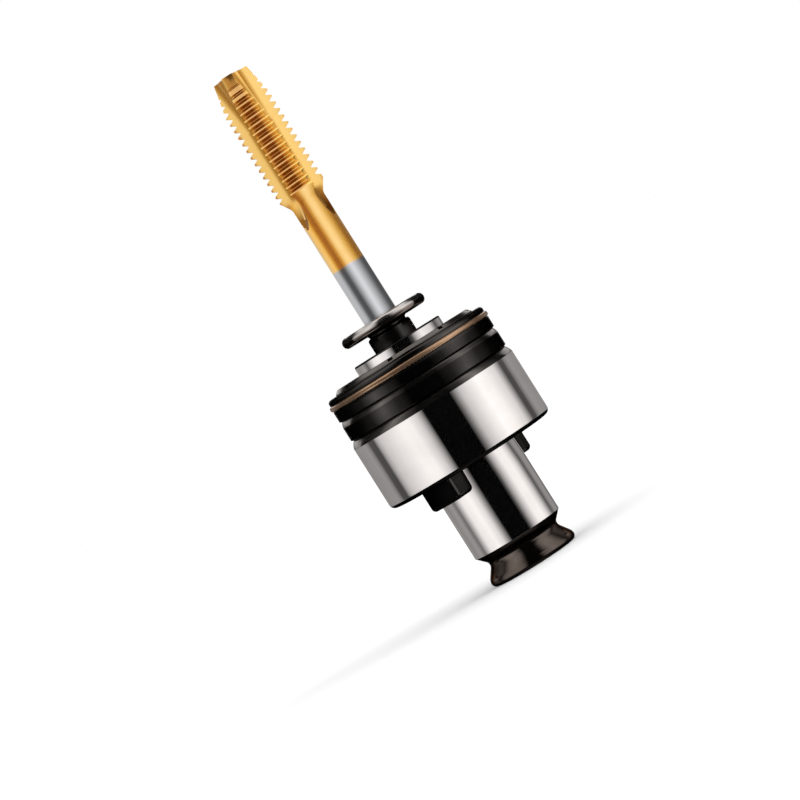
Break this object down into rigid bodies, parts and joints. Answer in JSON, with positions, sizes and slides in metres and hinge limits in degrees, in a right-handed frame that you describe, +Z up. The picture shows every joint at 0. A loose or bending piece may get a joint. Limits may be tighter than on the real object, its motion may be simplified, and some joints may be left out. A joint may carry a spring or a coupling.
{
  "type": "tapping collet",
  "caption": "Quick-change tapping collet with an adjustable ball overload clutch, drive lugs on its spigot, a push-to-release sleeve and a spiral-point machine tap held in it.",
  "frame": {"origin": "on the axis, at the underside of the foot", "axes": "+Z up along the tool's axis towards the tap's tip, the two drive lugs on the X axis"},
  "size_m": [0.036, 0.036, 0.1107],
  "materials": {
    "body_steel": "ground and bright, with black oxide on the grip, lugs and foot",
    "black_steel": "black oxide, glossy",
    "collar_steel": "bright turned",
    "wire_bronze": "bronze-coloured drawn wire",
    "inner_steel": "turned and hardened",
    "spring_steel": "oiled spring steel",
    "ball_steel": "polished",
    "tap_coating": "gold titanium nitride coating, bare steel at the shank's end"
  },
  "bodies": {
    "drive_body": {"drive_body": "body_steel", "lock_wire": "wire_bronze"},
    "spindle": {"spindle": "inner_steel", "tail_snap_ring": "spring_steel", "lock_collar": "collar_steel", "release_spring": "spring_steel"},
    "clutch_balls": {"clutch_ball_1": "ball_steel", "clutch_ball_2": "ball_steel", "clutch_ball_3": "ball_steel", "clutch_ball_4": "ball_steel", "clutch_ball_5": "ball_steel", "clutch_ball_6": "ball_steel"},
    "pressure_ring": {"pressure_ring": "inner_steel"},
    "thrust_washer": {"thrust_washer": "inner_steel", "disc_spring_1": "spring_steel", "disc_spring_2": "spring_steel", "disc_spring_3": "spring_steel", "disc_spring_4": "spring_steel"},
    "adjusting_nut": {"adjusting_nut": "black_steel"},
    "release_sleeve": {"release_sleeve": "black_steel", "sleeve_stop_ring": "spring_steel"},
    "lock_ball_1": {"lock_ball_1": "ball_steel"},
    "lock_ball_2": {"lock_ball_2": "ball_steel"},
    "lock_ball_3": {"lock_ball_3": "ball_steel"},
    "tap": {"tap": "tap_coating"}
  },
  "joints": [
    {"name": "clutch_slip", "type": "hinge", "parent": "drive_body", "child": "spindle", "pos_m": [0, 0, 0.0283], "axis": [0, 0, 1], "continuous": true},
    {"name": "clutch_lift", "type": "slide", "parent": "drive_body", "child": "pressure_ring", "axis": [0, 0, 1], "range_m": [0, 0.00125], "stiffness_N_per_m": 20000, "springref_m": -0.001, "deforming": ["disc_spring_1", "disc_spring_2", "disc_spring_3", "disc_spring_4"]},
    {"name": "clutch_ball_lift", "type": "slide", "parent": "spindle", "child": "clutch_balls", "axis": [0, 0, 1], "range_m": [0, 0.00125]},
    {"name": "nut_feed", "type": "slide", "parent": "drive_body", "child": "thrust_washer", "axis": [0, 0, 1], "range_m": [-0.00112, 0.00038]},
    {"name": "nut_turn", "type": "hinge", "parent": "thrust_washer", "child": "adjusting_nut", "pos_m": [0, 0, 0.0444], "axis": [0, 0, 1], "range_deg": [-270.1, 90.1], "deforming": ["lock_wire"]},
    {"name": "release_push", "type": "slide", "parent": "spindle", "child": "release_sleeve", "axis": [0, 0, -1], "range_m": [0, 0.0025], "stiffness_N_per_m": 120, "springref_m": -0.0056, "deforming": ["release_spring"]},
    {"name": "lock_ball_1_out", "type": "slide", "parent": "release_sleeve", "child": "lock_ball_1", "axis": [0, 1, 0], "range_m": [0, 0.0004]},
    {"name": "lock_ball_2_out", "type": "slide", "parent": "release_sleeve", "child": "lock_ball_2", "axis": [-0.866, -0.5, 0], "range_m": [0, 0.0004]},
    {"name": "lock_ball_3_out", "type": "slide", "parent": "release_sleeve", "child": "lock_ball_3", "axis": [0.866, -0.5, 0], "range_m": [0, 0.0004]},
    {"name": "tap_pull", "type": "slide", "parent": "spindle", "child": "tap", "axis": [0, 0, 1], "range_m": [0, 0.022]}
  ],
  "couplings": [
    {"joint": "clutch_ball_lift", "follows": "clutch_lift", "ratio": 1},
    {"joint": "nut_turn", "follows": "nut_feed", "rad_per_m": 4188.8},
    {"joint": "lock_ball_1_out", "follows": "release_push", "ratio": 0.14054},
    {"joint": "lock_ball_2_out", "follows": "release_push", "ratio": 0.14054},
    {"joint": "lock_ball_3_out", "follows": "release_push", "ratio": 0.14054}
  ]
}
